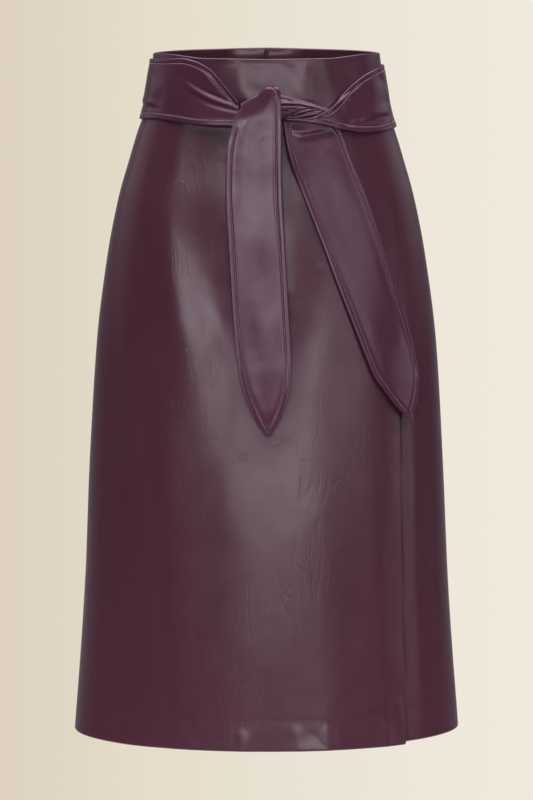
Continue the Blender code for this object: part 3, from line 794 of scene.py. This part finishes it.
def threads(name, spots, length, radius, sides=6):
    """Short rounded lengths of thread, joined in one mesh. A spot is a middle, a direction and a normal."""
    rings = ((-1.0, 0.25), (-0.8, 0.8), (0.0, 1.0), (0.8, 0.8), (1.0, 0.25))
    points, faces = [], []
    for middle, along, up in spots:
        side = np.cross(along, up)
        start = len(points)
        for reach, full in rings:
            for k in range(sides):
                turn = math.tau * k / sides
                around = (math.cos(turn) * side + math.sin(turn) * up) * radius * full
                points.append(middle + along * reach * length / 2 + around)
        for r in range(len(rings) - 1):
            for k in range(sides):
                a, b = start + r * sides + k, start + r * sides + (k + 1) % sides
                faces.append((a, b, b + sides, a + sides))
        faces.append([start + k for k in reversed(range(sides))])
        faces.append([start + (len(rings) - 1) * sides + k for k in range(sides)])
    mesh = bpy.data.meshes.new(name)
    mesh.from_pydata([tuple(p) for p in points], [], faces)
    mesh.shade_smooth()
    return add_object(name, mesh)


# Polyester topstitching thread, dyed to match, with the shine of twisted filament. Its colour is painted
# shade, darker in the grooves of the twist and lighter on its plies.
polyester_thread, tree, shader = new_material("polyester_thread")
ply = wave_node(tree, add_node(tree, "TexCoord", out="Object"), 900.0, "DIAGONAL", 1.0)
twist = bump_node(tree, ply, 0.0001, 0.6)
set_inputs(shader, {"Base Color": dyed(tree, ply, "#7d5d6b", "#ab8d9b"), "Normal": twist, "Roughness": 0.42})
STITCH_PITCH = 0.0032
STITCH_LENGTH = 0.0023
THREAD_RADIUS = 0.00048


def sew(name, outer, distance, across, shown_below=None):
    """A row of stitches along both edges of a sheet, which lie at the two ends of across."""
    spots = []
    half = len(across) // 2
    for turn, part in ((1, slice(0, half)), (-1, slice(len(across) - 1, half, -1))):
        points, crosses = [], []
        for row, far in zip(outer[:, part], distance[:, part]):
            if far.max() > STITCHED_IN:
                at = np.interp(STITCHED_IN, np.maximum.accumulate(far), np.arange(len(far)))
                k = min(int(at), len(far) - 2)
                points.append(mix(row[k], row[k + 1], at - k))
                crosses.append((row[k + 1] - row[k]) * turn)
        points, crosses = np.array(points), np.array(crosses)
        if shown_below and turn == 1:
            shown = points[:, 2] < shown_below
            points, crosses = points[shown], crosses[shown]
        run = np.concatenate(([0.0], np.cumsum(np.linalg.norm(np.diff(points, axis=0), axis=-1))))
        for s in np.arange(STITCH_PITCH, run[-1] - STITCH_PITCH / 2, STITCH_PITCH):
            here, before, after, side = (
                np.array([np.interp(x, run, values[:, axis]) for axis in range(3)])
                for x, values in ((s, points), (s - 0.001, points), (s + 0.001, points), (s, crosses))
            )
            along = (after - before) / np.linalg.norm(after - before)
            up = np.cross(along, side)
            up /= np.linalg.norm(up)
            if np.dot(up, here * (1, 1, 0)) < 0 and abs(up[2]) < 0.9:
                up = -up
            spots.append((here + up * 0.0004, along, up))
    obj = threads(name, spots, STITCH_LENGTH, THREAD_RADIUS)
    obj.data.materials.append(polyester_thread)
    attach(obj, "skirt")


def belt_stretch(name, node, rows, folds, seed, flat_ends=(False, False), crown=0.0, plump=0.28):
    """A stretch of the belt. Where folds pile up, a crown swells its middle and no stitching shows."""
    column = columns(rows)
    first, last = rows[0].bearing, rows[-1].bearing
    fine = 1.8 if crown else 1.0
    down = stations(BELT_WIDTH, 0.0018 / fine, close=SEWN_EDGE)[:, None]
    rims = (not flat_ends[0], not flat_ends[1])
    over = stations((last - first) * BELT_PER_DEGREE, 0.0022 / fine, rims)[None, :]
    bearing = mix(first, last, over) + 0 * down
    upper, lower, lift, thickness = (column[key](bearing) for key in ROUND.split()[1:])
    height = mix(upper, lower, down)
    per_degree = metres_per_degree(bearing, height)
    slope_up, slope_low = (np.gradient(e[0], bearing[0]) / per_degree[0] for e in (upper, lower))
    from_upper = (upper - height) / np.sqrt(1 + slope_up**2)
    from_lower = (height - lower) / np.sqrt(1 + slope_low**2)
    edge = np.minimum(from_upper, from_lower)
    sideways = np.ones(bearing.shape)
    if rims[0]:
        sideways = np.minimum(sideways, (bearing - first) * per_degree)
    if rims[1]:
        sideways = np.minimum(sideways, (last - bearing) * per_degree)
    room_for = ease((upper - lower) / 0.020 - 0.4)
    crowned = thickness * (1 - crown * (1 - np.sin(math.pi * down)))
    out = lift + crowned + relief(bearing, height, folds) + sewn_edge(edge, plump) * room_for
    out = out + unevenness(section_point(bearing, height), 0.020, 0.0007, seed) * ease(edge / 0.008)
    out = out + 0.0006 * np.sin(math.pi * down) * ease((upper - lower) / 0.05)
    full = rolled(edge, 0.0013) * rolled(sideways, 0.0010)
    # It lies on the band, and its own edge is rolled at two fifths of its thickness.
    under = np.clip(band_out(bearing, height, front_band_folds) + 0.0002, lift, out - 0.0012)
    middle = np.maximum(lift + crowned * 0.42, mix(under, out, 0.42))
    outer = on_form(bearing, height, mix(middle, out, full))
    inner = on_form(bearing, height, mix(middle, under, full))
    obj = cloth(name, outer, inner, flat_ends)
    obj.data.materials.append(belt_leather)
    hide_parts(node)
    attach(obj, "skirt")
    if not crown:
        sew(name + "_stitches", outer.transpose(1, 0, 2), edge.T, down[:, 0])


belt_back_folds = (
    fold((90, -28, -0.5, 3), (102, -30, -0.4, 3), (116, -30, 0, 4)),
    fold((128, 4, 0, 4), (140, 0, -0.7, 4), (154, -4, 0, 4), lean=0.2),
    fold((165, -20, 0, 5), (180, -22, 0.6, 6), (198, -19, 0, 5)),
    fold((208, -8, 0, 4), (222, -12, -0.8, 4), (238, -10, 0, 4), lean=-0.2),
    fold((248, -24, 0, 3), (260, -26, -0.6, 3), (270, -25, -0.8, 3)),
)
belt_right_folds = (
    fold((-50, 33, 0, 15), (-36, 27.5, 1.3, 16), (-27, 15, 1.9, 16), (-19, 0.5, 1.9, 14),
        (-12.6, -14.5, 1.2, 10)),
    fold((-44, -40, 0, 12), (-33, -42.5, 1.6, 14), (-23, -44, 2.2, 14), (-17, -44, 1.6, 12),
        (-12.6, -44, 0.4, 10)),
    fold((-39, 24, 0, 2), (-31, 16.5, -0.8, 2), (-26, 8, -1.3, 2), (-12.6, -26.2, -2, 2)),
    fold((-50, 15, 0, 5), (-38.7, 2, -0.9, 3), (-31, -7, -1.3, 2.5), (-13, -22.8, -1.4, 2), lean=0.3),
    fold((-49, 9, 0, 6), (-36, -5.6, 1.3, 4), (-27, -14.8, 1.4, 3), (-13, -25.5, 1.2, 2)),
    fold((-46, 2, 0, 5), (-33, -15, -0.9, 3), (-24, -23.2, -1.2, 2), (-13, -29, -1.4, 2), lean=0.3),
    fold((-90, -25, -0.8, 3), (-78, -26.2, -1, 2.2), (-66, -27.5, -0.7, 2), (-55, -29, 0, 2)),
    fold((-90, -20.5, 0.9, 4), (-76, -21.5, 0.8, 4), (-62, -23, 0, 4)),
)
belt_left_folds = (
    fold((52, 1, 0, 3), (45, -4.5, -0.5, 2.4), (37, -14, -0.8, 2), (26, -33.5, -1.1, 1.5), lean=0.2),
    fold((62, 1, 0, 5), (43, -12, 0.6, 3), (33, -22.5, 0.9, 2.5), (23, -36.8, 0.8, 1.5)),
    fold((33, -47, 0, 3), (42, -44.5, -0.9, 3), (54, -41.2, -0.9, 3), (68, -39.2, -0.8, 3), (82, -38, 0, 4)),
    fold((46, -35, 0, 5), (58, -32.5, 0.8, 6), (72, -31.5, 1, 6), (90, -31.5, 0.3, 6)),
    fold((68, -46.2, 0, 1.5), (76, -45, -0.7, 1.5), (90, -42, -0.8, 2)),
    fold((66, 8, 0, 6), (78, 1, -0.9, 6), (90, -6, -0.7, 7)),
)
belt_stretch("tie_belt_back", "belt_back", BELT_BACK, belt_back_folds, 8.0, (True, True))
belt_stretch("tie_belt_right", "belt_right", BELT_RIGHT, belt_right_folds, 9.0, (True, False))
belt_stretch("tie_belt_left", "belt_left", BELT_LEFT, belt_left_folds, 10.0, (False, True))


# ---- Knot --------------------------------------------------------------------------------------------------
# The belt's two ends cross in a half knot. What shows of it is a fan of tight pleats beside the end that
# falls over it in front.

KNOT = table(
    ROUND,
    (-12.3, -0.0212, -0.0460, BELT_LIFT, 0.0050),
    (-6, -0.0130, -0.0462, BELT_LIFT, 0.0066),
    (0, -0.0085, -0.0455, BELT_LIFT, 0.0074),
    (6.5, -0.0100, -0.0372, BELT_LIFT, 0.0080),
    (14, -0.0150, -0.0385, BELT_LIFT, 0.0070),
    (21.5, -0.0203, -0.0380, BELT_LIFT, 0.0055),
    (26, -0.0240, -0.0365, BELT_LIFT, 0.0040),
    (31, -0.0275, -0.0350, BELT_LIFT, 0.0026),
)
knot_folds = (
    fold((5, -17.5, -0.6, 3), (13, -18.5, -0.7, 2.6), (20, -22.5, -0.4, 1.6)),
    fold((5, -22.5, -2, 1.2), (12.5, -22.5, -2.4, 1.2), (18, -24, -1.8, 1), (24, -27.5, -0.9, 0.9), lean=0.5),
    fold((5, -25.8, 1.3, 1.6), (9, -25.2, 1.5, 1.5), (13, -25.6, 0.8, 1.4), (16, -26.2, 0, 1.2)),
    fold((6, -37.2, -1.8, 1.1), (10.4, -33.8, -2.2, 1), (15, -29.2, -2.4, 1), (21, -26.2, -1.4, 0.9),
        lean=0.4),
    fold((11, -35.2, -1.6, 0.9), (15.5, -33, -2, 0.9), (20, -30, -1.8, 0.8), (25, -28.5, -1, 0.8), lean=0.4),
    fold((9, -30.5, 0, 1.5), (13, -30, 0.8, 1.4), (19, -27.2, 0.5, 1)),
    fold((12, -37.2, 0.8, 1.3), (18, -35.5, 1.2, 1.3), (24, -32.5, 0.9, 1.2)),
)
belt_stretch("tie_belt_knot", "belt_knot", KNOT, knot_folds, 11.0, crown=0.55, plump=0.25)


# ---- Hanging belt ends -------------------------------------------------------------------------------------
# Both ends are cut to a long point and topstitched like the rest of the belt. One comes up behind the knot
# and falls over it, the other comes out from under it and hangs towards the wearer's left.

END_WIDTH = 0.064
HANG = "height right left clear"
TAIL_FRONT = table(
    HANG,
    (-0.0060, 0.5, 4.6, 0.0026),
    (-0.0030, 0.2, 5.0, 0.0055),
    (-0.0046, -0.6, 5.5, 0.0104),
    (-0.0080, -1.9, 6.1, 0.0113),
    (-0.0125, -3.8, 6.5, 0.0114),
    (-0.0215, -10.4, 6.6, 0.0112),
    (-0.0350, -13.6, 6.5, 0.0106),
    (-0.0520, -15.2, 6.3, 0.0090),
    (-0.0800, -16.4, 6.0, 0.0068),
    (-0.1160, -15.8, 5.8, 0.0048),
    (-0.1825, -13.4, 6.6, 0.0030),
    (-0.2500, -11.4, 7.4, 0.0027),
    (-0.3080, -9.5, 8.1, 0.0032),
    (-0.3345, -7.9, 7.6, 0.0039),
    (-0.3576, -5.4, 5.8, 0.0048),
    (-0.3750, -2.9, 3.6, 0.0062),
    (-0.3880, -0.3, 1.3, 0.0074),
)
TAIL_SIDE = table(
    HANG,
    (-0.0400, 7.4, 32.0, 0.0027),
    (-0.0530, 7.9, 35.4, 0.0028),
    (-0.0732, 9.0, 37.1, 0.0030),
    (-0.1063, 12.2, 39.9, 0.0033),
    (-0.1406, 16.0, 42.9, 0.0035),
    (-0.1739, 19.8, 45.8, 0.0035),
    (-0.2160, 24.2, 49.4, 0.0035),
    (-0.2684, 30.0, 54.4, 0.0035),
    (-0.3000, 33.7, 57.6, 0.0035),
    (-0.3230, 36.8, 58.9, 0.0038),
    (-0.3410, 41.0, 57.9, 0.0044),
    (-0.3570, 45.2, 55.9, 0.0051),
    (-0.3685, 49.4, 54.0, 0.0057),
    (-0.3740, 52.2, 53.2, 0.0060),
)


def hanging_end(name, node, rows, folds, seed, folded_above=None):
    """A hanging belt end. Its path is a line of heights and clearances, which may turn back over itself."""
    steps = [math.hypot(a.height - b.height, a.clear - b.clear) for a, b in zip(rows, rows[1:])]
    run = np.concatenate(([0.0], np.cumsum(steps)))
    column = columns(rows, run)
    s = stations(run[-1], 0.0015)[:, None] * run[-1]
    over = stations(END_WIDTH, 0.0020, close=SEWN_EDGE)[None, :]
    fall = column["height"](s + 0.0005) - column["height"](s - 0.0005)
    away = column["clear"](s + 0.0005) - column["clear"](s - 0.0005)
    rise_out, clear_out = away / np.hypot(fall, away), -fall / np.hypot(fall, away)
    bearing = mix(column["right"](s), column["left"](s), over)
    # Doubled leather is too stiff to follow the body's curve, so its edges stand off it.
    flatter = 0.0016 * (2 * over - 1) ** 2 * ease((s - 0.03) / 0.05)
    height, clear = column["height"](s) + 0 * over, column["clear"](s) + flatter
    middle = on_form(bearing, height, clear)
    reach = []
    for outline in (middle[:, 0], middle[:, -1]):
        tree = KDTree(4 * len(outline))
        for k, (a, b) in enumerate(zip(outline, outline[1:])):
            for quarter in range(4):
                tree.insert(mix(a, b, quarter / 4), 4 * k + quarter)
        tree.balance()
        reach.append(np.array([tree.find(p)[2] for p in middle.reshape(-1, 3)]).reshape(bearing.shape))
    edge, top = np.minimum(*reach), s + 0 * over
    # Where the wearer's right edge is folded under, near the knot, no stitching shows on it.
    seen = 1 - ease((height - folded_above) / 0.022) * (reach[0] < reach[1]) if folded_above else 1.0
    inward = ease(edge / 0.010)
    out = BELT_WALL / 2 + sewn_edge(edge) * seen + relief(bearing, height, folds) * ease(top / 0.01 - 0.5)
    out = out + unevenness(middle, 0.026, 0.0004, seed, 2.0) * inward
    out = out + unevenness(middle, 0.009, 0.00007, seed) * inward * ease((height + 0.11) / 0.03)
    out = out + 0.0004 * ease((edge - STITCHED_IN) / 0.014)
    full = rolled(edge, 0.0013) * rolled(top, 0.0010)
    outer, inner = (
        on_form(bearing, height + amount * rise_out, clear + amount * clear_out)
        for amount in (out * full, -BELT_WALL / 2 * full)
    )
    obj = cloth(name, outer, inner)
    obj.data.materials.append(belt_leather)
    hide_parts(node)
    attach(obj, "skirt")
    sew(name + "_stitches", outer, edge, over[0], folded_above + 0.008 if folded_above else None)


front_end_folds = (
    fold((1, -1, -0.6, 10), (-6, -9, -2, 12), (-12, -21, -2.5, 13), (-16, -37, -2, 12), (-18, -55, -1.2, 11),
        (-19, -78, -0.9, 10), (-18.5, -105, 0, 8)),
    fold((-2, -56, 0, 5), (-1, -67, 0.25, 5), (-1, -82, 0, 5)),
    fold((0, -90, 0, 7), (-1, -150, -0.5, 8), (0, -210, 0, 8)),
    fold((-6, -240, 0, 7), (-4, -290, 0.5, 8), (-3, -340, 0, 8)),
)
side_end_folds = (
    fold((10, -43, 0.8, 3), (11.5, -48, 1.3, 3.5), (14, -50, 1, 3), (18, -49, 0, 3)),
    fold((13, -59, 0, 3), (19, -55.5, -0.9, 3.2), (25, -52.5, -0.9, 3.2), (29, -51, -0.4, 3), lean=0.3),
    fold((27, -70, 0, 6), (30, -110, 0.6, 7), (35, -150, 0, 8)),
    fold((22, -100, 0, 7), (27, -150, -0.5, 8), (33, -200, 0, 8)),
)
hanging_end("belt_end_front", "belt_tail_front", TAIL_FRONT, front_end_folds, 12.0,
    folded_above=-0.062)
hanging_end("belt_end_side", "belt_tail_side", TAIL_SIDE, side_end_folds, 13.0)


# ---- Zip ---------------------------------------------------------------------------------------------------
# A concealed zip behind the centre-back seam: two woven polyester tapes, a nylon coil on their inner face,
# and a lacquered zinc slider with a drop-shaped pull, which is all that shows outside.

ZIP_LENGTH = 0.200
ZIP_TAPE_WIDTH = 0.024
ZIP_TAPE_WALL = 0.0008

# The woven tape is dull. Its weave is 0.7 mm on the real tape and is drawn 1.4 mm. Its colour is painted
# shade, darker between the yarns and lighter on their crowns.
woven_tape, tree, shader = new_material("woven_polyester_tape")
place = add_node(tree, "UVMap", uv_map="cloth")
warp, weft = (wave_node(tree, place, 1400.0 / math.tau, direction) for direction in "XY")
weave = maths(tree, "MULTIPLY", warp, weft)
dye_and_weave_shade, crowns = dyed(tree, weave, "#3a2029", "#55323f"), bump_node(tree, weave, 0.0002, 0.8)
set_inputs(shader, {"Base Color": dye_and_weave_shade, "Normal": crowns, "Roughness": 0.85})

tape_out = BAND_PROUD - BAND_WALL - SEAM_GAP
down = stations(ZIP_LENGTH, 0.0030)[:, None]
over = stations(ZIP_TAPE_WIDTH, 0.0012, extra=(ZIP_TAPE_WIDTH / 2,))[None, :]
height = top_edge(180.0) - 0.002 - ZIP_LENGTH * down + 0 * over
# Behind the waistband the tapes are caught under its facing, so only their inner edges show.
tape_width = mix(0.0055, ZIP_TAPE_WIDTH, ease((down * ZIP_LENGTH - 0.058) / 0.008))
aside = (over - 0.5) * tape_width
bearing = 180 + aside / metres_per_degree(180.0, height)
edge = np.minimum(tape_width / 2 - np.abs(aside), np.minimum(down, 1 - down) * ZIP_LENGTH)
full = rolled(edge, ZIP_TAPE_WALL / 2)
# A groove parts the two tapes, and each has a low ridge beside it.
split = -0.0003 * bump(aside, 0.0, 0.0004) + 0.00015 * bump(np.abs(aside), 0.0022, 0.0006)
middle = tape_out - ZIP_TAPE_WALL / 2
outer = on_form(bearing, height, mix(middle, tape_out + np.minimum(split, 0.0), full))
inner = on_form(bearing, height, mix(middle, tape_out - ZIP_TAPE_WALL - split, full))
zip_tapes = cloth("zip_tapes", outer, inner)
zip_tapes.data.materials.append(woven_tape)
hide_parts("zip_tape")
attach(zip_tapes, "skirt")

# The coil: turns of nylon monofilament 1.4 mm apart, which grip each other from both tapes.
nylon, tree, shader = new_material("nylon_monofilament")
shade = noise_node(tree, add_node(tree, "TexCoord", out="Object"), 400.0, 2.0)
set_inputs(shader, {"Base Color": dyed(tree, shade, "#1c0f14", "#2a161d"), "Roughness": 0.3})
COIL_PITCH = 0.0014
turns = []
for k in range(int((ZIP_LENGTH - 0.012) / COIL_PITCH)):
    level = float(top_edge(180.0)) - 0.008 - COIL_PITCH * k
    for side in (-1, 1):
        shift = side * 0.0009 / float(metres_per_degree(180.0, level))
        middle = on_form(180.0 + shift, level + side * COIL_PITCH / 4, tape_out - ZIP_TAPE_WALL - 0.0006)
        turns.append((middle, np.array((1.0, 0.0, 0.12 * side)), np.array((0.0, 1.0, 0.0))))
zip_coil = threads("zip_coil", turns, 0.0030, 0.00034)
zip_coil.data.materials.append(nylon)
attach(zip_coil, "skirt")

# Zinc casting, lacquered plum: smooth and glossy, rubbed back to a duller grey on its small high spots.
lacquered_zinc, tree, shader = new_material("lacquered_zinc")
rub = noise_node(tree, add_node(tree, "TexCoord", out="Object"), 500.0, 4.0)
worn = ranged(tree, rub, 0.62, 0.74, 0.0, 0.7)
lacquer, peel = dyed(tree, worn, "#4f2b39", "#8d7a7d"), bump_node(tree, rub, 0.00003)
set_inputs(shader, {"Base Color": lacquer, "Metallic": worn, "Normal": peel, "Roughness": 0.28})
set_inputs(shader, {"Coat Weight": 0.6, "Coat Roughness": 0.1})
for node_name in ("zip_slider", "zip_pull"):
    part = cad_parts[node_name]
    for material_slot in part.material_slots:
        material_slot.material = lacquered_zinc
